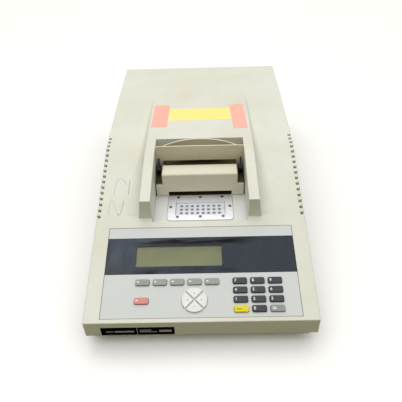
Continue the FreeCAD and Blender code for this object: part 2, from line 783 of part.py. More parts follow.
def lcd_module():
    """The display itself: a frame round its glass, on a small board."""
    frame = box(GLASS_X0 - 6, GLASS_X1 + 6, GLASS_D0 - 5, GLASS_D1 + 5, -8, -2.6)
    board = box(GLASS_X0 - 12, GLASS_X1 + 12, GLASS_D0 - 9, GLASS_D1 + 9, -9.6, -7.9)
    return on_panel(join(frame, board))


def keypad_board():
    """The circuit board under the keys: a switch dome for each, and six stand-offs."""
    board = box(-131, 131, 9.5, 68, -8.8, -7.2)
    domes = [pillar(3, x, d, -7.3, -6.8) for x, d in key_places().values()]
    for turn in PAD_TURNS.values():
        angle = math.radians(turn + 90)
        x = PAD_X + 10.5 * math.cos(angle)
        d = PAD_D + 10.5 * math.sin(angle)
        domes.append(pillar(3, x, d, -7.3, -6.8))
    posts = [pillar(2.5, x, d, -7.3, -PANEL_THICK) for x in (-127, 37, 128) for d in (17, 63)]
    return on_panel(join(board, *domes, *posts))


# ---------------------------------------------------------------- rear panel


def rear_panel():
    """The steel plate behind the cover's rear opening."""
    plate = box(-124, 124, REAR_INNER - REAR_SHEET, REAR_INNER, 27, 127)
    holes = [
        rod_y(FAN_HOLE_R, FAN[0], 290, 310, FAN[1]),
        box(INLET[0] - 14, INLET[0] + 14, 290, 310, INLET[1] - 16.2, INLET[1] + 10.2),
        box(SWITCH[0] - 9, SWITCH[0] + 9, 290, 310, SWITCH[1] - 12.5, SWITCH[1] + 12.5),
        box(SERIAL[0] - 9.2, SERIAL[0] + 9.2, 290, 310, SERIAL[1] - 4.9, SERIAL[1] + 4.9),
    ]
    for x in (-116, 0, 112):
        for z in (34, 120):
            holes.append(rod_y(1.6, x, 290, 310, z))
    return cut(plate, *holes)


def power_inlet():
    """Appliance inlet with three flat pins, and a well for the fuse drawer below."""
    x, z = INLET
    flange = box(x - 16, x + 16, REAR_INNER, REAR_INNER + 2, z - 18.2, z + 12.2)
    body = box(x - 13.8, x + 13.8, REAR_INNER - 24, REAR_INNER + 0.1, z - 16, z + 10)
    socket_outline = [
        (x - 12.2, z + 4.4), (x - 8.6, z + 8.2), (x + 8.6, z + 8.2),
        (x + 12.2, z + 4.4), (x + 12.2, z - 8.2), (x - 12.2, z - 8.2),
    ]
    socket = prism_y(socket_outline, REAR_INNER - 17, REAR_INNER + 5)
    drawer_well = box(x - 11, x + 11, REAR_INNER - 18, REAR_INNER + 5, z - 15.4, z - 9.6)
    shell = cut(join(flange, body), socket, drawer_well)
    pins = []
    for dx, dz in ((-7, -2.5), (0, 2.5), (7, -2.5)):
        pins.append(box(x + dx - 1, x + dx + 1, REAR_INNER - 17, REAR_INNER - 1, z + dz - 2, z + dz + 2))
    return [join(shell, *pins)]


def fuse_drawer():
    """The small drawer that holds the mains fuses."""
    x, z = INLET
    drawer = box(x - 10.8, x + 10.8, REAR_INNER - 17.8, REAR_INNER + 2, z - 15.2, z - 9.8)
    front = box(x - 10.8, x + 10.8, REAR_INNER + 1.9, REAR_INNER + 2.4, z - 15.2, z - 9.8)
    notch = box(x - 3, x + 3, REAR_INNER + 0.8, REAR_INNER + 3, z - 10.8, z - 9)
    return cut(join(drawer, front), notch)


def switch_bezel():
    """The frame that the mains rocker sits in."""
    x, z = SWITCH
    flange = box(x - 11, x + 11, REAR_INNER, REAR_INNER + 1.2, z - 15, z + 15)
    sleeve = box(x - 8.9, x + 8.9, REAR_INNER - 14, REAR_INNER + 0.1, z - 12.4, z + 12.4)
    opening = box(x - 7.4, x + 7.4, REAR_INNER - 12, REAR_INNER + 3, z - 11.4, z + 11.4)
    bearings = rod_x(ROCKER_PIN_R + 0.1, x - 8.4, x + 8.4, REAR_INNER - ROCKER_DEEP, z)
    return cut(join(flange, sleeve), opening, bearings)


def power_switch():
    """The rocker, tipped to one side about its middle, with a shallow V in its face."""
    x, z = SWITCH
    y = REAR_INNER - ROCKER_DEEP
    lift = 10.6 * math.tan(math.radians(7))
    outline = [
        (y - 3, z - 7), (y + 5 + lift, z - 10.6), (y + 5, z), (y + 5 + lift, z + 10.6), (y - 3, z + 7),
    ]
    rocker = join(prism_x(outline, x - 7.1, x + 7.1), rod_x(ROCKER_PIN_R, x - 8.2, x + 8.2, y, z))
    rocker.rotate(V(x, y, z), V(1, 0, 0), 7)
    return rocker


def fan_frame():
    """The square fan housing with its four struts and motor seat."""
    x, z = FAN
    half = FAN_SIZE / 2
    y0 = REAR_INNER - REAR_SHEET - 25
    y1 = REAR_INNER - REAR_SHEET
    body = box(x - half, x + half, y0, y1, z - half, z + half)
    upright = [e for e in body.Edges if abs(e.tangentAt(e.FirstParameter).y) > 0.9]
    body = body.makeFillet(4, upright)
    bore = rod_y(FAN_HOLE_R - 0.5, x, y0 - 1, y1 + 1, z)
    holes = [rod_y(2.1, x + sx, y0 - 1, y1 + 1, z + sz) for sx in (-35.7, 35.7) for sz in (-35.7, 35.7)]
    seat = rod_y(18, x, y0, y0 + 3, z)
    struts = [
        box(x - half + 0.5, x + half - 0.5, y0, y0 + 2.5, z - 2, z + 2),
        box(x - 2, x + 2, y0, y0 + 2.5, z - half + 0.5, z + half - 0.5),
    ]
    return join(cut(body, bore, *holes), seat, *struts)


def fan_rotor():
    """Hub and seven raked blades."""
    x, z = FAN
    y0 = REAR_INNER - REAR_SHEET - 21.5
    hub = rod_y(17, x, y0, y0 + 20, z)
    blades = []
    for k in range(7):
        blade = box(-6, 6, -0.9, 0.9, 15, 36.5)
        blade.rotate(V(0, 0, 0), V(0, 0, 1), 40)
        blade.translate(V(0, y0 + 10, 0))
        blade.rotate(V(0, 0, 0), V(0, 1, 0), 360 * k / 7)
        blade.translate(V(x, 0, z))
        blades.append(blade)
    return join(hub, *blades)


def fan_guard():
    """The guard over the fan's opening: wire rings welded on two crossed bars."""
    x, z = FAN
    y = REAR_INNER + 1.0
    guard = box(x - 41, x + 41, y - 0.8, y + 0.4, z - 0.9, z + 0.9)
    guard = guard.fuse(box(x - 0.9, x + 0.9, y - 0.8, y + 0.4, z - 41, z + 41))
    for radius in (10, 18, 26, 34, 40):
        guard = guard.fuse(Part.makeTorus(radius, 0.8, V(x, y + 0.6, z), V(0, 1, 0)))
    for dx, dz in ((-42, 0), (42, 0), (0, -42), (0, 42)):
        guard = guard.fuse(rod_y(2.6, x + dx, REAR_INNER, REAR_INNER + 2.2, z + dz))
    return guard


def serial_port():
    """Nine-way data connector with two jack screws."""
    x, z = SERIAL
    flange = box(x - 15.4, x + 15.4, REAR_INNER, REAR_INNER + 0.8, z - 6.2, z + 6.2)
    body = box(x - 9, x + 9, REAR_INNER - 10, REAR_INNER + 0.1, z - 4.7, z + 4.7)
    outline = [(x - 8.4, z + 4.2), (x + 8.4, z + 4.2), (x + 7.0, z - 4.2), (x - 7.0, z - 4.2)]
    collar = prism_y(outline, REAR_INNER, REAR - 0.1)
    inner = [(x - 7.6, z + 3.5), (x + 7.6, z + 3.5), (x + 6.3, z - 3.5), (x - 6.3, z - 3.5)]
    hollow = prism_y(inner, REAR_INNER - 3, REAR + 1)
    screws = [rod_y(2.4, x + dx, REAR_INNER, REAR - 0.2, z) for dx in (-12.5, 12.5)]
    return cut(join(flange, body, collar, *screws), hollow)


# ---------------------------------------------------------------- electronics


def power_supply():
    """Open-frame supply: bent bracket, board, transformer, capacitors and heat sink."""
    floor = FOOT_HEIGHT + SHEET
    bracket = join(
        box(-145, -45, 110, 270, floor, floor + 1.5),
        box(-145, -143.5, 110, 270, floor, floor + 45),
    )
    parts = [bracket, box(-140, -50, 114, 266, floor + 6, floor + 7.6)]
    parts += [pillar(2.5, x, y, floor + 1.5, floor + 6) for x in (-136, -54) for y in (118, 262)]
    parts.append(box(-130, -80, 190, 240, floor + 7.6, floor + 45))
    parts += [pillar(9, -62, y, floor + 7.6, floor + 37) for y in (140, 162, 184)]
    parts.append(box(-132, -128, 122, 180, floor + 7.6, floor + 40))
    return parts


def main_board():
    """The controller's circuit board on six posts."""
    floor = FOOT_HEIGHT + SHEET
    parts = [box(-30, 130, 30, 230, floor + 6, floor + 7.6)]
    parts += [pillar(2.5, x, y, floor, floor + 6) for x in (-26, 50, 126) for y in (34, 226)]
    parts += [box(0 + 26 * k, 18 + 26 * k, 60, 90, floor + 7.6, floor + 11) for k in range(4)]
    parts += [box(-20, 40, 120 + 22 * k, 132 + 22 * k, floor + 7.6, floor + 12) for k in range(4)]
    parts.append(box(60, 110, 120, 170, floor + 7.6, floor + 24))
    parts.append(box(60, 115, 205, 215, floor + 7.6, floor + 18))
    return parts


def main():
    os.makedirs("parts", exist_ok=True)
    save("top_cover", top_cover())
    save("base_pan", base_pan())
    save("rubber_feet", *rubber_feet())
    save("case_screws", *case_screws())
    save("name_plate", *name_plate())
    save("red_tapes", *red_tapes())
    save("yellow_tape", yellow_tape())
    save("channel_floor", channel_floor())
    save("guide_rails", *guide_rails())
    save("block_frame", block_frame())
    save("block_frame_screws", *block_frame_screws())
    save("sample_block", sample_block())
    save("thermoelectric_modules", *thermoelectric_modules())
    save("heat_sink", heat_sink())
    save("lid_housing", lid_housing())
    save("lid_runners", *lid_runners())
    save("lid_frame", lid_frame())
    save("heated_platen", heated_platen())
    save("platen_springs", *platen_springs())
    save("lever_pins", *lever_pins())
    save("lid_lever", lid_lever())
    save("lever_links", *lever_links())
    for name, (x, d) in key_places().items():
        save(name, key_cap(x, d))
    for name, turn in PAD_TURNS.items():
        save(name, pad_key(turn))
    save("panel_overlay", panel_overlay())
    save("display_strip", display_strip())
    save("lcd_window", lcd_window())
    save("lcd_module", lcd_module())
    save("keypad_board", keypad_board())
    save("rear_panel", rear_panel())
    save("power_inlet", *power_inlet())
    save("fuse_drawer", fuse_drawer())
    save("switch_bezel", switch_bezel())
    save("power_switch", power_switch())
    save("fan_frame", fan_frame())
    save("fan_rotor", fan_rotor())
    save("fan_guard", fan_guard())
    save("serial_port", serial_port())
    save("power_supply", *power_supply())
    save("main_board", *main_board())


main()
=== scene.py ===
"""Looks of the bench-top thermal cycler: materials, printed marks, light and camera."""

import json
import math

import bmesh
import bpy
from mathutils import Matrix, Vector


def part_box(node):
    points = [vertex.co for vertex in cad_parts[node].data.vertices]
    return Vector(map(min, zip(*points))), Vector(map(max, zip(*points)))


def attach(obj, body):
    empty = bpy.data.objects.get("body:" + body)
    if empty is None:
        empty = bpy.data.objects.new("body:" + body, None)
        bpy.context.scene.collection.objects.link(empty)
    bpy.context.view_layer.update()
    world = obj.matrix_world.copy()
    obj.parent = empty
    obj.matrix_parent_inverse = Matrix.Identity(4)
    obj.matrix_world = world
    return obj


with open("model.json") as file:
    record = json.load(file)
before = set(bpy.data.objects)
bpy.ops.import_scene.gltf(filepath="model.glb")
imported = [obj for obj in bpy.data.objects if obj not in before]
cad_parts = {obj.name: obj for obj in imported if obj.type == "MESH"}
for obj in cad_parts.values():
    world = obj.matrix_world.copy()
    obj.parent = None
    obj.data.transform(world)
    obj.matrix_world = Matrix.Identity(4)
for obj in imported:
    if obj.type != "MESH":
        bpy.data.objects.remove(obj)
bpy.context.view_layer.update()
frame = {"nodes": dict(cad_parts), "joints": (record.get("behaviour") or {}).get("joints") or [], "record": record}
NODES = frame["nodes"]
MM = 0.001

# ---------------------------------------------------------------- camera

CAMERA_PITCH = 39.82  # degrees below level
CAMERA_YAW = -1.19
CAMERA_ROLL = -1.95
CAMERA_PLACE = (13.36, -674.11, 573.66)  # millimetres
CAMERA_LENS = 40.79
CAMERA_SENSOR = 36.0


def make_camera():
    """The viewing angle: from the front, well above the keypad, and a touch to the right."""
    pitch, yaw, roll = (math.radians(angle) for angle in (CAMERA_PITCH, CAMERA_YAW, CAMERA_ROLL))
    level = math.cos(pitch)
    ahead = Vector((math.sin(yaw) * level, math.cos(yaw) * level, -math.sin(pitch)))
    level_right = Vector((math.cos(yaw), -math.sin(yaw), 0))
    level_up = level_right.cross(ahead)
    right = math.cos(roll) * level_right + math.sin(roll) * level_up
    up = -math.sin(roll) * level_right + math.cos(roll) * level_up
    data = bpy.data.cameras.new("camera")
    data.lens = CAMERA_LENS
    data.sensor_width = CAMERA_SENSOR
    data.clip_start = 0.01
    data.clip_end = 50
    camera = bpy.data.objects.new("camera", data)
    axes = Matrix((right, up, -ahead)).transposed().to_4x4()
    camera.matrix_world = Matrix.Translation(Vector(CAMERA_PLACE) * MM) @ axes
    bpy.context.scene.collection.objects.link(camera)
    bpy.context.scene.camera = camera


make_camera()

# ---------------------------------------------------------------- node helpers


class Tree:
    """A small writer of node trees round one Principled shader."""

    def __init__(self, name):
        self.material = bpy.data.materials.new(name)
        self.material.use_nodes = True
        self.nodes = self.material.node_tree.nodes
        self.links = self.material.node_tree.links
        self.nodes.clear()
        self.out = self.nodes.new("ShaderNodeOutputMaterial")
        self.shader = self.nodes.new("ShaderNodeBsdfPrincipled")
        self.links.new(self.shader.outputs[0], self.out.inputs["Surface"])
        self.coords = self.nodes.new("ShaderNodeTexCoord").outputs["Object"]

    def set(self, **values):
        """Set shader inputs that are the same all over the surface."""
        for name, value in values.items():
            self.shader.inputs[name.replace("_", " ")].default_value = value

    def node(self, kind, inputs=None, **props):
        """A new node; an input given as a socket is linked, and any other is set."""
        made = self.nodes.new(kind)
        for name, value in props.items():
            setattr(made, name, value)
        for name, value in (inputs or {}).items():
            if hasattr(value, "links"):
                self.links.new(value, made.inputs[name])
            else:
                made.inputs[name].default_value = value
        return made

    def stretched(self, scale):
        return self.node("ShaderNodeMapping", {"Vector": self.coords, "Scale": scale}).outputs[0]

    def noise(self, scale, detail=2.0, rough=0.5, vector=None):
        return self.node("ShaderNodeTexNoise", {
            "Vector": vector or self.coords, "Scale": scale, "Detail": detail, "Roughness": rough,
        }).outputs["Fac"]

    def ramp(self, value, low, high, dark=(0, 0, 0, 1), light=(1, 1, 1, 1)):
        made = self.node("ShaderNodeValToRGB", {"Fac": value})
        made.color_ramp.elements[0].position = low
        made.color_ramp.elements[0].color = dark
        made.color_ramp.elements[1].position = high
        made.color_ramp.elements[1].color = light
        return made.outputs[0]

    def mix(self, factor, first, second, blend="MIX"):
        return self.node("ShaderNodeMix", {
            0: factor, 6: first, 7: second,
        }, data_type="RGBA", blend_type=blend).outputs[2]

    def range(self, value, low, high, source=(0, 1)):
        """Map a value, clamped, from the source range to low and high."""
        return self.node("ShaderNodeMapRange", {
            "Value": value, "From Min": source[0], "From Max": source[1],
            "To Min": low, "To Max": high,
        }).outputs[0]

    def times(self, first, second, operation="MULTIPLY"):
        return self.node("ShaderNodeMath", {0: first, 1: second}, operation=operation).outputs[0]

    def place(self):
        """The X, Y and Z of the object's own coordinates."""
        return self.node("ShaderNodeSeparateXYZ", {0: self.coords}).outputs

    def bump(self, height, strength, distance, before=None):
        inputs = {"Height": height, "Strength": strength, "Distance": distance}
        if before is not None:
            inputs["Normal"] = before
        return self.node("ShaderNodeBump", inputs).outputs[0]

    def color(self, socket):
        self.links.new(socket, self.shader.inputs["Base Color"])

    def rough(self, socket):
        self.links.new(socket, self.shader.inputs["Roughness"])

    def normal(self, socket):
        self.links.new(socket, self.shader.inputs["Normal"])


def rgba(color):
    return (*color, 1.0)


def scaled(color, by):
    return rgba([min(1.0, c * by) for c in color])


# ---------------------------------------------------------------- materials


def moulded(name, color, roughness=0.5, stain=None):
    """Moulded plastic: fine spark-eroded grain, faint clouding, grime and hairline scratches."""
    t = Tree(name)
    t.set(Specular_IOR_Level=0.4)
    clouds = t.noise(9.0, 4.0, 0.6)
    fine = t.noise(60.0, 5.0, 0.65)
    stain = stain or [c * f for c, f in zip(color, (0.93, 0.90, 0.82))]
    base = t.mix(t.range(clouds, 0.0, 1.0, (0.35, 0.75)), rgba(color), rgba(stain))
    base = t.mix(t.range(fine, 0.0, 0.10, (0.5, 0.8)), base, scaled(color, 0.7))
    scratch = t.noise(1.0, 2.0, 0.5, t.stretched((30.0, 900.0, 900.0)))
    scratch = t.ramp(scratch, 0.72, 0.76)
    base = t.mix(t.range(scratch, 0.0, 0.08), base, scaled(color, 0.72))
    t.color(base)
    t.rough(t.range(fine, roughness - 0.08, roughness + 0.08))
    t.normal(t.bump(t.noise(1600.0, 2.0, 0.5), 0.25, 0.00012))
    return t.material


def grimy_plastic(name, color, masks):
    """Moulded plastic with painted shade mixed into its colour where the masks, made from a place and a normal,
    say so.
    """
    made = moulded(name, color, roughness=0.46)
    nodes, links = made.node_tree.nodes, made.node_tree.links
    source = nodes.new("ShaderNodeTexCoord")
    place = nodes.new("ShaderNodeSeparateXYZ")
    facing = nodes.new("ShaderNodeSeparateXYZ")
    links.new(source.outputs["Object"], place.inputs[0])
    links.new(source.outputs["Normal"], facing.inputs[0])

    def step(value, first, last):
        """1 on the first side, 0 on the last, with a soft edge between."""
        made = nodes.new("ShaderNodeMapRange")
        for key, amount in (("From Min", first), ("From Max", last), ("To Min", 1.0), ("To Max", 0.0)):
            made.inputs[key].default_value = amount
        links.new(value, made.inputs["Value"])
        return made.outputs[0]

    def math_of(how, first, second=0.0):
        made = nodes.new("ShaderNodeMath")
        made.operation = how
        for k, value in enumerate((first, second)):
            if hasattr(value, "links"):
                links.new(value, made.inputs[k])
            else:
                made.inputs[k].default_value = value
        return made.outputs[0]

    shader = next(n for n in nodes if n.bl_idname == "ShaderNodeBsdfPrincipled")
    for amount, tint in masks(place.outputs, facing.outputs, step, math_of):
        own_color = shader.inputs["Base Color"].links[0].from_socket
        # the node named grime mixes the painted shade colour over the plastic's own colour
        grime = nodes.new("ShaderNodeMix")
        grime.data_type = "RGBA"
        links.new(amount, grime.inputs[0])
        links.new(own_color, grime.inputs[6])
        grime.inputs[7].default_value = rgba(tint)
        links.new(grime.outputs[2], shader.inputs["Base Color"])
    return made


def lid_grime(place, facing, step, math_of):
    """Painted shade: dark in the rear trough and on the ledges over the feet, which lie in shadow, and a softer
    painted shade on the brow behind the top, under the lever bar.
    """
    low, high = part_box("lid_housing")
    side = math_of("ABSOLUTE", place["X"])
    trough = math_of("MULTIPLY", step(place["Y"], high.y - 39.0 * MM, high.y - 42.5 * MM),
                     step(place["Z"], high.z - 3.6 * MM, high.z - 1.6 * MM))
    ledge = math_of("MULTIPLY", step(side, high.x - 10.2 * MM, high.x - 10.6 * MM),
                    step(place["Y"], low.y + 5.0 * MM, low.y + 0.6 * MM))
    ledge = math_of("MULTIPLY", ledge, step(place["Z"], high.z - 4.0 * MM, high.z - 1.5 * MM))
    brow = math_of("MULTIPLY", step(place["Y"], high.y - 40.0 * MM, high.y - 60.0 * MM),
                   step(place["Z"], high.z + 1 * MM, high.z + 2 * MM))
    brow = math_of("MULTIPLY", brow, 0.55)
    # painted shade colours for the brow, the trough and the ledges
    return [(brow, (0.36, 0.33, 0.24)), (math_of("MAXIMUM", trough, ledge), (0.045, 0.035, 0.010))]


def cover_grime(place, facing, step, math_of):
    """Painted shade: a darker, yellower band on the upright front of the lip, which faces away from the light."""
    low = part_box("top_cover")[0]
    lip = math_of("MULTIPLY", step(facing["Y"], -0.97, -0.6),
                  step(place["Y"], low.y + 1 * MM, low.y + 3 * MM))
    # painted shade on the front-facing lip
    return [(math_of("MULTIPLY", lip, 0.75), (0.54, 0.53, 0.40))]


def lever_grime(place, facing, step, math_of):
    """Painted shade: a duller, darker inside of the finger pocket, where little light reaches."""
    low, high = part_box("lid_lever")
    inside = math_of("MULTIPLY", step(place["Y"], low.y + 2.6 * MM, low.y + 2.1 * MM),
                     step(place["Z"], high.z - 1.6 * MM, high.z - 0.5 * MM))
    inside = math_of("MULTIPLY", inside, step(facing["Y"], 0.05, 0.2))
    # painted shade inside the pocket
    return [(math_of("MULTIPLY", inside, 0.8), (0.34, 0.31, 0.21))]


def coat(t, color):
    """Clouds and specks of dust in a coat of paint: its colour and its clouds."""
    cloud = t.noise(14.0, 5.0, 0.7)
    speck = t.ramp(t.noise(420.0, 3.0, 0.8), 0.68, 0.74)
    base = t.mix(t.range(cloud, 0.0, 0.5, (0.4, 0.8)), rgba(color), scaled(color, 0.88))
    return t.mix(t.range(speck, 0.0, 0.25), base, scaled(color, 0.6)), cloud


def orange_peel(t, depth):
    t.normal(t.bump(t.noise(500.0, 1.0, 0.4), depth, 0.0002))


def paint(name, color, roughness=0.4, depth=0.15):
    """Powder coat on sheet metal: a slight orange peel and small specks of dust."""
    t = Tree(name)
    base, cloud = coat(t, color)
    t.color(base)
    t.rough(t.range(cloud, roughness - 0.06, roughness + 0.1))
    orange_peel(t, depth)
    return t.material


def floor_paint():
    """The channel floor's pale paint, with painted shade darkening the groove round the frame plate."""
    t = Tree("white_paint")
    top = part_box("channel_floor")[1].z
    base, cloud = coat(t, (0.74, 0.745, 0.75))
    # painted shade: the groove goes dark below the floor's top face
    groove = t.range(t.place()["Z"], 1.0, 0.0, (top - 0.5 * MM, top - 0.15 * MM))
    t.color(t.mix(groove, base, rgba((0.10, 0.095, 0.08))))
    t.rough(t.range(cloud, 0.32, 0.48))
    orange_peel(t, 0.08)
    return t.material


def metal(name, color, roughness=0.32, streak=0.12):
    """Bare metal with fine drawn or milled lines and dulled patches."""
    t = Tree(name)
    t.set(Metallic=1.0)
    lines = t.noise(40.0, 3.0, 0.6, t.stretched((1.0, 60.0, 60.0)))
    dull = t.noise(45.0, 4.0, 0.65)
    base = t.mix(t.range(lines, 0.0, 1.0, (0.3, 0.7)), rgba(color), scaled(color, 1.0 - 2 * streak))
    base = t.mix(t.range(dull, 0.0, 0.4, (0.45, 0.8)), base, scaled(color, 0.75))
    t.color(base)
    t.rough(t.range(lines, roughness - streak, roughness + streak, (0.3, 0.7)))
    t.normal(t.bump(lines, 0.1, 0.00015))
    return t.material


def silver_plate():
    """Satin anodised plate: close to white under soft light, with a fine even grain."""
    t = Tree("silver_plate")
    t.set(Metallic=0.55)
    grain = t.noise(2400.0, 2.0, 0.6)
    cloud = t.noise(70.0, 3.0, 0.6)
    base = t.mix(t.range(cloud, 0.0, 0.6, (0.4, 0.75)),
                 rgba((0.85, 0.86, 0.89)), rgba((0.76, 0.77, 0.81)))
    t.color(base)
    t.rough(t.range(grain, 0.34, 0.5))
    t.normal(t.bump(grain, 0.12, 0.0001))
    return t.material


def block_metal():
    """Milled block, bluish grey, with painted shade darkening it down in the wells."""
    t = Tree("block_metal")
    t.set(Metallic=0.35)
    lines = t.noise(60.0, 3.0, 0.6, t.stretched((1.0, 50.0, 50.0)))
    spots = t.noise(380.0, 3.0, 0.7)
    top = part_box("sample_block")[1].z
    # painted shade: darker with depth below the block's top
    depth = t.range(t.place()["Z"], 1.0, 0.0, (top - 5 * MM, top - 0.4 * MM))
    face = t.mix(t.range(lines, 0.0, 1.0, (0.3, 0.7)),
                 rgba((0.88, 0.90, 0.96)), rgba((0.77, 0.80, 0.87)))
    face = t.mix(t.range(spots, 0.0, 0.5, (0.5, 0.8)), face, rgba((0.64, 0.66, 0.74)))
    t.color(t.mix(depth, face, rgba((0.42, 0.45, 0.53))))
    t.rough(t.range(lines, 0.28, 0.45, (0.3, 0.7)))
    t.normal(t.bump(lines, 0.1, 0.0001))
    return t.material


def rubber(name, color):
    """Matt, gritty rubber with paler worn clouds."""
    t = Tree(name)
    t.set(Specular_IOR_Level=0.25)
    grit = t.noise(700.0, 3.0, 0.7)
    base = t.mix(t.range(t.noise(40.0, 4.0, 0.7), 0.0, 0.5), rgba(color), scaled(color, 2.2))
    t.color(base)
    t.rough(t.range(grit, 0.65, 0.9))
    t.normal(t.bump(grit, 0.3, 0.0002))
    return t.material


def paper_tape(name, color, edge):
    """Creped marking tape: cross ripples, a slightly mottled dye."""
    t = Tree(name)
    t.set(Specular_IOR_Level=0.2)
    ripple = t.noise(1.0, 3.0, 0.6, t.stretched((120.0, 900.0, 200.0)))
    dye = t.noise(55.0, 4.0, 0.6)
    base = t.mix(t.range(dye, 0.0, 0.8, (0.35, 0.75)), rgba(color), rgba(edge))
    base = t.mix(t.range(ripple, 0.0, 0.25, (0.4, 0.8)), base, scaled(color, 0.88))
    t.color(base)
    t.rough(t.range(ripple, 0.6, 0.8))
    t.normal(t.bump(ripple, 0.35, 0.0002))
    return t.material


def film(name, color, roughness=0.42):
    """Printed polyester film with a fine matt grain."""
    t = Tree(name)
    t.set(Specular_IOR_Level=0.45)
    grain = t.noise(3000.0, 1.0, 0.5)
    cloud = t.noise(12.0, 3.0, 0.6)
    smear = t.noise(4.0, 3.0, 0.6, t.stretched((4.0, 18.0, 18.0)))
    base = t.mix(t.range(cloud, 0.0, 0.7, (0.35, 0.75)), rgba(color), scaled(color, 0.95))
    t.color(base)
    t.rough(t.range(smear, roughness - 0.07, roughness + 0.07, (0.3, 0.7)))
    t.normal(t.bump(grain, 0.1, 0.00006))
    return t.material


def gloss(name, color, smear_color, roughness=0.35):
    """Deep black printed film with faint wiping smears and dust."""
    t = Tree(name)
    t.set(Specular_IOR_Level=0.0)
    smear = t.noise(5.0, 4.0, 0.6, t.stretched((3.0, 14.0, 14.0)))
    dust = t.ramp(t.noise(900.0, 3.0, 0.85), 0.66, 0.72)
    base = t.mix(t.range(smear, 0.0, 1.0, (0.35, 0.7)), rgba(color), rgba(smear_color))
    base = t.mix(t.range(dust, 0.0, 0.12), base, rgba((0.4, 0.4, 0.42)))
    t.color(base)
    t.rough(t.range(smear, roughness - 0.03, roughness + 0.1, (0.35, 0.7)))
    return t.material


def strip_acrylic():
    """The dark strip: bluish streaks of painted reflection, paler on the left, the same streaks setting the wiping
    in the roughness, and smeared black painted reflection along the edges.
    """
    t = Tree("dark_gloss")
    t.set(Specular_IOR_Level=0.1)
    low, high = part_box("display_strip")
    length = high.x - low.x
    place = t.place()
    # painted reflection: bluish streaks, strongest at the left end; the same streaks set the roughness
    wipes_and_reflection = t.noise(1.0, 4.0, 0.6, t.stretched((17.0, 6.0, 6.0)))
    wipes_and_reflection = t.range(wipes_and_reflection, 0.0, 1.0, (0.36, 0.68))
    paler = t.range(place["X"], 1.0, 0.12, (low.x, low.x + 0.6 * length))
    base = t.mix(t.times(wipes_and_reflection, paler), rgba((0.032, 0.038, 0.052)), rgba((0.105, 0.128, 0.165)))
    # painted reflection: black streaks along the top and bottom edges, between the ends
    smear = t.ramp(t.noise(1.0, 3.0, 0.55, t.stretched((10.0, 75.0, 75.0))), 0.40, 0.52)
    upper = t.range(place["Y"], 0.0, 1.0, (high.y - 15 * MM, high.y - 8 * MM))
    lower = t.range(place["Y"], 0.7, 0.0, (low.y + 2 * MM, low.y + 10 * MM))
    edges = t.times(upper, lower, "MAXIMUM")
    left_end = t.range(place["X"], 0.0, 1.0, (low.x + 0.10 * length, low.x + 0.24 * length))
    right_end = t.range(place["X"], 1.0, 0.0, (high.x - 0.34 * length, high.x - 0.18 * length))
    for part in (edges, left_end, right_end):
        smear = t.times(smear, part)
    t.color(t.mix(smear, base, rgba((0.003, 0.003, 0.004))))
    t.rough(t.range(wipes_and_reflection, 0.08, 0.2))
    return t.material


def window_glass():
    """Thin clear sheet over the display."""
    t = Tree("window_glass")
    t.set(Transmission_Weight=0.96, IOR=1.2)
    haze = t.noise(10.0, 4.0, 0.6)
    t.color(t.mix(haze, rgba((0.96, 0.98, 0.94)), rgba((0.92, 0.94, 0.90))))
    t.rough(t.range(haze, 0.02, 0.07))
    return t.material


def lcd_glass():
    """The display's grey-green field: a fine dot matrix, slightly uneven."""
    t = Tree("lcd_glass")
    t.set(Specular_IOR_Level=0.15)
    field = t.noise(16.0, 3.0, 0.5)
    dots = t.node("ShaderNodeTexBrick", {
        "Vector": t.stretched((1.0, 1.0, 1.0)), "Scale": 900.0, "Mortar Size": 0.12,
        "Color1": (1, 1, 1, 1), "Color2": (1, 1, 1, 1), "Mortar": (0.94, 0.94, 0.94, 1),
    }, offset=0.0).outputs["Color"]
    base = t.mix(t.range(field, 0.0, 1.0, (0.3, 0.7)),
                 rgba((0.400, 0.422, 0.222)), rgba((0.350, 0.374, 0.196)))
    t.color(t.mix(1.0, base, dots, "MULTIPLY"))
    t.rough(t.range(field, 0.18, 0.28))
    return t.material


def board(name):
    """Green solder mask with traces showing faintly through it."""
    t = Tree(name)
    cells = t.node("ShaderNodeTexVoronoi", {"Vector": t.coords, "Scale": 160.0},
                   feature="F1", distance="MANHATTAN").outputs["Distance"]
    traces = t.ramp(cells, 0.42, 0.50)
    t.color(t.mix(t.range(traces, 0.0, 0.5), rgba((0.02, 0.13, 0.05)), rgba((0.08, 0.30, 0.12))))
    t.rough(t.range(traces, 0.3, 0.45))
    return t.material


def speckled(name, color, roughness):
    """Ceramic or filled plastic with tiny specks."""
    t = Tree(name)
    speck = t.noise(900.0, 3.0, 0.8)
    t.color(t.mix(t.range(speck, 0.0, 0.6, (0.5, 0.8)), rgba(color), scaled(color, 0.8)))
    t.rough(t.range(speck, roughness - 0.05, roughness + 0.08))
    t.normal(t.bump(speck, 0.1, 0.0001))
    return t.material


def key_plastic(name, color, roughness=0.42, specular=0.5):
    """Silky moulded key tops, a little polished by fingers."""
    t = Tree(name)
    t.set(Specular_IOR_Level=specular)
    fine = t.noise(2200.0, 2.0, 0.5)
    touch = t.noise(90.0, 3.0, 0.6)
    t.color(t.mix(t.range(touch, 0.0, 1.0, (0.3, 0.7)), rgba(color), scaled(color, 0.88)))
    t.rough(t.range(touch, roughness - 0.1, roughness + 0.06, (0.3, 0.7)))
    t.normal(t.bump(fine, 0.12, 0.00006))
    return t.material


def ink(name, color):
    """Printed ink, faintly uneven."""
    t = Tree(name)
    t.color(t.mix(t.range(t.noise(800.0, 3.0, 0.7), 0.0, 0.4), rgba(color), scaled(color, 0.85)))
    t.rough(t.range(t.noise(500.0), 0.45, 0.6))
    return t.material


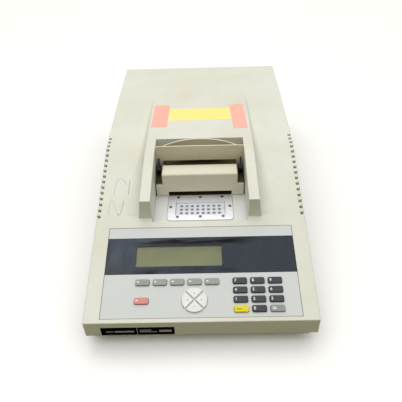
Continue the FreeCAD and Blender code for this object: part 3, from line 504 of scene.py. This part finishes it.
IVORY = (0.700, 0.712, 0.655)
TAN = (0.700, 0.672, 0.555)
MATERIALS = {
    "cream_plastic": moulded("cream_plastic", IVORY),
    "tan_plastic": moulded("tan_plastic", TAN, roughness=0.46),
    "grey_paint": paint("grey_paint", (0.52, 0.52, 0.49)),
    "white_paint": floor_paint(),
    "black_rubber": rubber("black_rubber", (0.018, 0.018, 0.018)),
    # dark rubber for the sheet of painted shade under the parked lid
    "shade_rubber": rubber("shade_rubber", (0.030, 0.025, 0.012)),
    "zinc_steel": metal("zinc_steel", (0.62, 0.62, 0.64)),
    "dark_screw": metal("dark_screw", (0.22, 0.22, 0.24), roughness=0.4),
    "dark_steel": metal("dark_steel", (0.045, 0.043, 0.038), roughness=0.5),
    "black_label": gloss("black_label", (0.003, 0.003, 0.003), (0.004, 0.004, 0.004)),
    "red_tape": paper_tape("red_tape", (0.86, 0.44, 0.37), (0.90, 0.52, 0.42)),
    "yellow_tape": paper_tape("yellow_tape", (0.95, 0.79, 0.25), (0.97, 0.83, 0.33)),
    "silver_plate": silver_plate(),
    "block_silver": block_metal(),
    "bare_aluminium": metal("bare_aluminium", (0.74, 0.74, 0.76), roughness=0.36),
    "white_ceramic": speckled("white_ceramic", (0.80, 0.80, 0.77), 0.35),
    "panel_grey": film("panel_grey", (0.590, 0.612, 0.610)),
    "dark_gloss": strip_acrylic(),
    "clear_window": window_glass(),
    "lcd_green": lcd_glass(),
    "green_board": board("green_board"),
    "black_plastic": moulded("black_plastic", (0.022, 0.022, 0.023), roughness=0.45,
                             stain=(0.03, 0.03, 0.03)),
    "grey_key": key_plastic("grey_key", (0.300, 0.325, 0.312)),
    "red_key": key_plastic("red_key", (0.70, 0.250, 0.225)),
    "white_key": key_plastic("white_key", (0.80, 0.81, 0.81)),
    "charcoal_key": key_plastic("charcoal_key", (0.026, 0.029, 0.040)),
    "yellow_key": key_plastic("yellow_key", (0.77, 0.655, 0.004), specular=0.3),
    "pale_key": key_plastic("pale_key", (0.272, 0.292, 0.295)),
}
WHITE_INK = ink("white_ink", (0.82, 0.82, 0.80))
GREY_INK = ink("grey_ink", (0.34, 0.34, 0.33))
DARK_INK = ink("dark_ink", (0.10, 0.09, 0.05))
PENCIL = ink("pencil", (0.50, 0.51, 0.49))
PENCIL_DARK = ink("pencil_dark", (0.37, 0.38, 0.36))


def dress_nodes():
    """Every carried-over piece gets its slot's material."""
    slots = {row["node"]: row["material_slot"] for row in frame["record"]["subparts"]}
    for name, node in NODES.items():
        node.data.materials.clear()
        node.data.materials.append(MATERIALS[slots[name]])
    NODES["lid_housing"].data.materials[0] = grimy_plastic("tan_plastic_lid", TAN, lid_grime)
    NODES["lid_lever"].data.materials[0] = grimy_plastic("tan_plastic_lever", TAN, lever_grime)
    NODES["top_cover"].data.materials[0] = grimy_plastic("cream_plastic_cover", IVORY, cover_grime)
    NODES["lever_pins"].data.materials[0] = MATERIALS["dark_steel"]


dress_nodes()

# ---------------------------------------------------------------- panel coordinates


def joint(name):
    return next(j for j in frame["joints"] if j["name"] == name)


PRESS = Vector(joint("key_0_press")["axis"])
OUTWARD = -PRESS.normalized()
UPHILL = Vector((0, OUTWARD.z, -OUTWARD.y))
SLOPE = Matrix((Vector((1, 0, 0)), UPHILL, OUTWARD)).transposed()


def panel_box(name):
    """A node's lowest and highest corner along x, up the slope and out of the slope."""
    turned = [SLOPE.transposed() @ v.co for v in NODES[name].data.vertices]
    low = Vector([min(p[i] for p in turned) for i in range(3)])
    high = Vector([max(p[i] for p in turned) for i in range(3)])
    return low, high


def set_on_slope(obj, x, d, n):
    """Stand an object made flat in XY on the slope."""
    place = SLOPE.to_4x4()
    place.translation = SLOPE @ Vector((x, d, n))
    obj.matrix_world = place


def mesh_object(name, bm, material):
    """A finished mesh as a new object."""
    mesh = bpy.data.meshes.new(name)
    bm.normal_update()
    bm.to_mesh(mesh)
    bm.free()
    mesh.materials.append(material)
    obj = bpy.data.objects.new(name, mesh)
    bpy.context.scene.collection.objects.link(obj)
    return obj


def bake_place(obj):
    """Move an object's place into its mesh."""
    bpy.context.view_layer.update()
    obj.data.transform(obj.matrix_world)
    obj.matrix_world = Matrix.Identity(4)


# ---------------------------------------------------------------- printed marks

PRINT = 0.03 * MM


def glyph(name, text, size, material, weight=0.0):
    """Flat printed characters as a thin mesh, centred on their own middle."""
    curve = bpy.data.curves.new(name + "_curve", "FONT")
    curve.body = text
    curve.size = size
    curve.extrude = PRINT
    curve.offset = weight
    curve.align_x = "CENTER"
    curve.align_y = "CENTER"
    source = bpy.data.objects.new(name + "_source", curve)
    bpy.context.scene.collection.objects.link(source)
    bpy.context.view_layer.update()
    mesh = bpy.data.meshes.new_from_object(source)
    bpy.data.objects.remove(source)
    mesh.name = name
    mesh.materials.clear()
    mesh.materials.append(material)
    obj = bpy.data.objects.new(name, mesh)
    bpy.context.scene.collection.objects.link(obj)
    return obj


def patch(bm, outline, n0, n1):
    """A thin plate with a given outline, added to a mesh."""
    low = [bm.verts.new((x, y, n0)) for x, y in outline]
    high = [bm.verts.new((x, y, n1)) for x, y in outline]
    bm.faces.new(low[::-1])
    bm.faces.new(high)
    count = len(outline)
    for i in range(count):
        j = (i + 1) % count
        bm.faces.new((low[i], low[j], high[j], high[i]))


def plate(bm, x0, x1, y0, y1, n0, n1):
    """A thin rectangular plate, added to a mesh."""
    patch(bm, [(x0, y0), (x1, y0), (x1, y1), (x0, y1)], n0, n1)


def rounded_outline(x, y, half_x, half_y, radius, steps=4):
    """A rounded rectangle."""
    points = []
    corners = ((1, 1, 0), (-1, 1, 90), (-1, -1, 180), (1, -1, 270))
    for sx, sy, start in corners:
        for k in range(steps + 1):
            angle = math.radians(start + 90 * k / steps)
            points.append((
                x + sx * (half_x - radius) + radius * math.cos(angle),
                y + sy * (half_y - radius) + radius * math.sin(angle),
            ))
    return points


def key_marks():
    """Digits on the number keys, arrows on the pad and blank marks on the rest."""
    for digit in range(10):
        key = "key_%d" % digit
        low, high = panel_box(key)
        mark = glyph("digit_%d" % digit, str(digit), 6.0 * MM, WHITE_INK, 0.13 * MM)
        cx = (low.x + high.x) / 2 - 6.6 * MM
        cd = (low.y + high.y) / 2
        set_on_slope(mark, cx, cd, high.z + PRINT * 0.6)
        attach(mark, key + "_body")
    blanks = {"soft_key_%d" % (i + 1): WHITE_INK for i in range(5)}
    blanks.update({"stop_key": WHITE_INK, "enter_key": WHITE_INK, "clear_key": DARK_INK})
    for key, material in blanks.items():
        low, high = panel_box(key)
        cx = (low.x + high.x) / 2
        cd = (low.y + high.y) / 2
        bm = bmesh.new()
        if key == "clear_key":
            patch(bm, rounded_outline(-3.4 * MM, -0.6 * MM, 3.6 * MM, 0.55 * MM, 0.3 * MM), 0, PRINT)
        elif key == "enter_key":
            patch(bm, rounded_outline(-4.6 * MM, 1.1 * MM, 2.6 * MM, 0.6 * MM, 0.3 * MM), 0, PRINT)
            patch(bm, rounded_outline(-4.6 * MM, -1.1 * MM, 2.6 * MM, 0.6 * MM, 0.3 * MM), 0, PRINT)
        else:
            patch(bm, rounded_outline(-6.4 * MM, 0.4 * MM, 1.5 * MM, 1.0 * MM, 0.35 * MM), 0, PRINT)
        mark = mesh_object("mark_" + key, bm, material)
        set_on_slope(mark, cx, cd, high.z + PRINT * 0.4)
        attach(mark, key + "_body")
    for turn, key in ((0, "arrow_up"), (90, "arrow_left"), (180, "arrow_down"), (270, "arrow_right")):
        low, high = panel_box(key)
        cx = (low.x + high.x) / 2
        cd = (low.y + high.y) / 2
        bm = bmesh.new()
        patch(bm, [(0, 1.2 * MM), (-1.3 * MM, -0.9 * MM), (1.3 * MM, -0.9 * MM)], 0, PRINT)
        turned = Matrix.Rotation(math.radians(turn), 3, "Z")
        bmesh.ops.rotate(bm, verts=bm.verts, cent=(0, 0, 0), matrix=turned)
        mark = mesh_object("mark_" + key, bm, GREY_INK)
        set_on_slope(mark, cx, cd, high.z + PRINT * 0.4)
        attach(mark, key + "_body")


key_marks()


def label_stripes():
    """Plain grey rules on the two blank plates of the lip."""
    low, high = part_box("name_plate")
    middle = low.x + 0.49 * (high.x - low.x)
    height = high.z - low.z
    bm = bmesh.new()
    rules = [
        (low.x + 7 * MM, low.x + 17 * MM, 0.46, 0.05),
        (low.x + 19 * MM, middle - 4 * MM, 0.46, 0.09),
        (middle + 4 * MM, middle + 20 * MM, 0.62, 0.05),
        (middle + 4 * MM, middle + 28 * MM, 0.40, 0.05),
        (middle + 31 * MM, high.x - 4 * MM, 0.50, 0.13),
    ]
    for x0, x1, up, thick in rules:
        z = low.z + up * height
        plate(bm, x0, x1, z - thick * height, z + thick * height, 0, PRINT)
    print_on_lip = mesh_object("label_rules", bm, GREY_INK)
    upright = Matrix(((1, 0, 0), (0, 0, -1), (0, 1, 0))).to_4x4()
    print_on_lip.matrix_world = Matrix.Translation((0, low.y + PRINT * 0.9, 0)) @ upright
    bake_place(print_on_lip)
    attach(print_on_lip, "chassis")


label_stripes()


def ribbon(bm, points, width, n0, n1):
    """A thin stroke of ink along a smooth line through the points."""
    line = []
    ends = [points[0]] + points + [points[-1]]
    for i in range(1, len(ends) - 2):
        p0, p1, p2, p3 = (Vector(ends[i + k]) for k in (-1, 0, 1, 2))
        for k in range(6):
            u = k / 6
            square = (2 * p0 - 5 * p1 + 4 * p2 - p3) * u ** 2
            cube = (3 * p1 - p0 - 3 * p2 + p3) * u ** 3
            line.append(0.5 * (2 * p1 + (p2 - p0) * u + square + cube))
    line.append(Vector(points[-1]))
    left, right = [], []
    for i, at in enumerate(line):
        ahead = line[min(i + 1, len(line) - 1)] - line[max(i - 1, 0)]
        across = Vector((-ahead.y, ahead.x)).normalized() * width / 2
        left.append(at + across)
        right.append(at - across)
    patch(bm, [(p.x, p.y) for p in right + left[::-1]], n0, n1)


def pencil_marks():
    """Faint hand-drawn strokes on the left of the deck: an arch, a short line and a zigzag."""
    strokes = [
        ([(-139, 212), (-139, 230), (-136, 242), (-131, 246), (-125, 241), (-121, 231)], 1.1, PENCIL),
        ([(-116, 242), (-116, 228), (-116.5, 213)], 1.2, PENCIL_DARK),
        ([(-145, 176), (-144.5, 191), (-142.5, 204), (-137, 193), (-131, 177)], 1.0, PENCIL),
        ([(-131, 177), (-128.5, 174), (-126, 178), (-124, 189), (-123, 201)], 1.2, PENCIL_DARK),
    ]
    panel_low, panel_high = panel_box("panel_overlay")
    lip_edge = panel_low.y - 6.4 * MM
    for i, (points, width, material) in enumerate(strokes):
        bm = bmesh.new()
        ribbon(bm, [(x * MM, d * MM) for x, d in points], width * MM, 0, PRINT)
        stroke = mesh_object("pencil_%d" % (i + 1), bm, material)
        set_on_slope(stroke, 0, lip_edge, panel_high.z + PRINT * 0.4)
        bake_place(stroke)
        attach(stroke, "chassis")


pencil_marks()


def floor_mat():
    """A thin dark sheet on the channel floor where the open lid stands, and a dark strip along the frame plate's
    rear edge: painted shade under the parked lid.
    """
    floor_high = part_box("channel_floor")[1]
    frame_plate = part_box("block_frame")[1]
    half_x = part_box("lid_runners")[1].x - 13.0 * MM
    front = frame_plate.y + 0.9 * MM
    rear = floor_high.y - 2 * MM
    bm = bmesh.new()
    patch(bm, rounded_outline(0, (front + rear) / 2, half_x, (rear - front) / 2, 1.5 * MM),
          floor_high.z + 0.02 * MM, floor_high.z + 0.3 * MM)
    patch(bm, rounded_outline(0, frame_plate.y - 1.3 * MM, frame_plate.x - 1.5 * MM, 1.6 * MM, 0.5 * MM),
          frame_plate.z + 0.02 * MM, frame_plate.z + 0.2 * MM)
    # the dark rubber stands in for the shadow under the lid
    under_lid_shade = mesh_object("floor_mat", bm, MATERIALS["shade_rubber"])
    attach(under_lid_shade, "chassis")


floor_mat()


def panel_seal():
    """Painted shade: dark strips in the groove round the sides and top of the control panel."""
    low, high = panel_box("panel_overlay")
    gap = 0.7 * MM
    inset = 0.04 * MM
    x0, x1, d0, d1 = low.x - gap, high.x + gap, low.y - gap, high.y + gap
    bm = bmesh.new()
    for a, b, c, d in ((x0, low.x, d0, d1), (high.x, x1, d0, d1), (low.x, high.x, high.y, d1)):
        plate(bm, a + inset, b - inset, c + inset, d - inset, high.z - 1.2 * MM, high.z - 0.35 * MM)
    # black rubber stands in for the shadow in the groove
    groove_shadow = mesh_object("panel_seal", bm, MATERIALS["black_rubber"])
    groove_shadow.matrix_world = SLOPE.to_4x4()
    bake_place(groove_shadow)
    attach(groove_shadow, "chassis")


panel_seal()

# ---------------------------------------------------------------- stage and light


SKY_AIM = (0.0, 0.05, 1.0)
SKY_LOW = (0.066, 0.056, 0.008)
SKY_SIDE = (0.42, 0.392, 0.285)
SKY_HIGH = (1.0, 1.0, 1.0)
SKY_POWER = 1.45
LAMP_PLACE = (-0.30, 0.55, 1.75)
LAMP_AIM = (0.0, 0.1, 0.0)
LAMP_SIZE = (1.2, 0.8)
LAMP_POWER = 3.4


def backdrop():
    """A pale dome behind everything, seen only directly, so that it neither lights nor shades."""
    bm = bmesh.new()
    bmesh.ops.create_uvsphere(bm, u_segments=48, v_segments=24, radius=9.0)
    material = bpy.data.materials.new("backdrop_paper")
    material.use_nodes = True
    nodes, links = material.node_tree.nodes, material.node_tree.links
    nodes.clear()
    out = nodes.new("ShaderNodeOutputMaterial")
    glow = nodes.new("ShaderNodeEmission")
    cloth = nodes.new("ShaderNodeTexNoise")
    tone = nodes.new("ShaderNodeMapRange")
    cloth.inputs["Scale"].default_value = 0.3
    tone.inputs["To Min"].default_value = 0.90
    tone.inputs["To Max"].default_value = 0.94
    links.new(cloth.outputs["Fac"], tone.inputs["Value"])
    links.new(tone.outputs[0], glow.inputs["Color"])
    links.new(glow.outputs[0], out.inputs["Surface"])
    dome = mesh_object("backdrop", bm, material)
    dome.visible_diffuse = False
    dome.visible_glossy = False
    dome.visible_transmission = False
    dome.visible_volume_scatter = False
    dome.visible_shadow = False


def stage():
    """A pale floor, and soft light from above."""
    bm = bmesh.new()
    bmesh.ops.create_grid(bm, x_segments=1, y_segments=1, size=6.0)
    floor = mesh_object("floor", bm, ink("floor_paper", (0.98, 0.98, 0.99)))
    floor.location.z = -0.0002
    floor.visible_diffuse = False
    world = bpy.data.worlds.new("studio")
    bpy.context.scene.world = world
    world.use_nodes = True
    nodes, links = world.node_tree.nodes, world.node_tree.links
    nodes.clear()
    out = nodes.new("ShaderNodeOutputWorld")
    sky = nodes.new("ShaderNodeBackground")
    ramp = nodes.new("ShaderNodeValToRGB")
    aim = nodes.new("ShaderNodeVectorMath")
    lift = nodes.new("ShaderNodeMapRange")
    coords = nodes.new("ShaderNodeTexCoord")
    aim.operation = "DOT_PRODUCT"
    aim.inputs[1].default_value = Vector(SKY_AIM).normalized()
    links.new(coords.outputs["Generated"], aim.inputs[0])
    links.new(aim.outputs["Value"], lift.inputs["Value"])
    lift.inputs["From Min"].default_value = -1.0
    lift.inputs["From Max"].default_value = 1.0
    links.new(lift.outputs[0], ramp.inputs["Fac"])
    marks = ramp.color_ramp.elements
    marks[0].position = 0.0
    marks[0].color = rgba(SKY_LOW)
    marks[1].position = 1.0
    marks[1].color = rgba(SKY_HIGH)
    for position, color in ((0.5, SKY_LOW), (0.76, SKY_SIDE), (0.87, SKY_HIGH)):
        added = marks.new(position)
        added.color = rgba(color)
    links.new(ramp.outputs[0], sky.inputs["Color"])
    sky.inputs["Strength"].default_value = SKY_POWER
    links.new(sky.outputs[0], out.inputs[0])
    data = bpy.data.lights.new("overhead", "AREA")
    data.shape = "RECTANGLE"
    data.size, data.size_y = LAMP_SIZE
    data.energy = LAMP_POWER
    lamp = bpy.data.objects.new("overhead", data)
    lamp.location = LAMP_PLACE
    lamp.rotation_mode = "QUATERNION"
    lamp.rotation_quaternion = (Vector(LAMP_AIM) - Vector(LAMP_PLACE)).to_track_quat("-Z", "Y")
    bpy.context.scene.collection.objects.link(lamp)
    bpy.context.scene.view_settings.view_transform = "Standard"


backdrop()
stage()

# ---------------------------------------------------------------- display


def display_bezel():
    """A dark frame inside the window, round the grey-green field, standing in as painted shade for the shadow of
    the recessed display.
    """
    low, high = panel_box("lcd_module")
    x0, x1 = low.x + 12 * MM, high.x - 12 * MM
    d0, d1 = low.y + 9 * MM, high.y - 9 * MM
    width = 1.4 * MM
    base, top = high.z + 0.02 * MM, high.z + 0.35 * MM
    bm = bmesh.new()
    for d in (d0, d1):
        plate(bm, x0 - width, x1 + width, d - width, d + width, base, top)
    for x in (x0, x1):
        plate(bm, x - width, x + width, d0 + width, d1 - width, base, top)
    # black plastic stands in for the shadow round the recessed field
    shadow_ring = mesh_object("display_bezel", bm, MATERIALS["black_plastic"])
    shadow_ring.matrix_world = SLOPE.to_4x4()
    bake_place(shadow_ring)
    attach(shadow_ring, "chassis")


display_bezel()
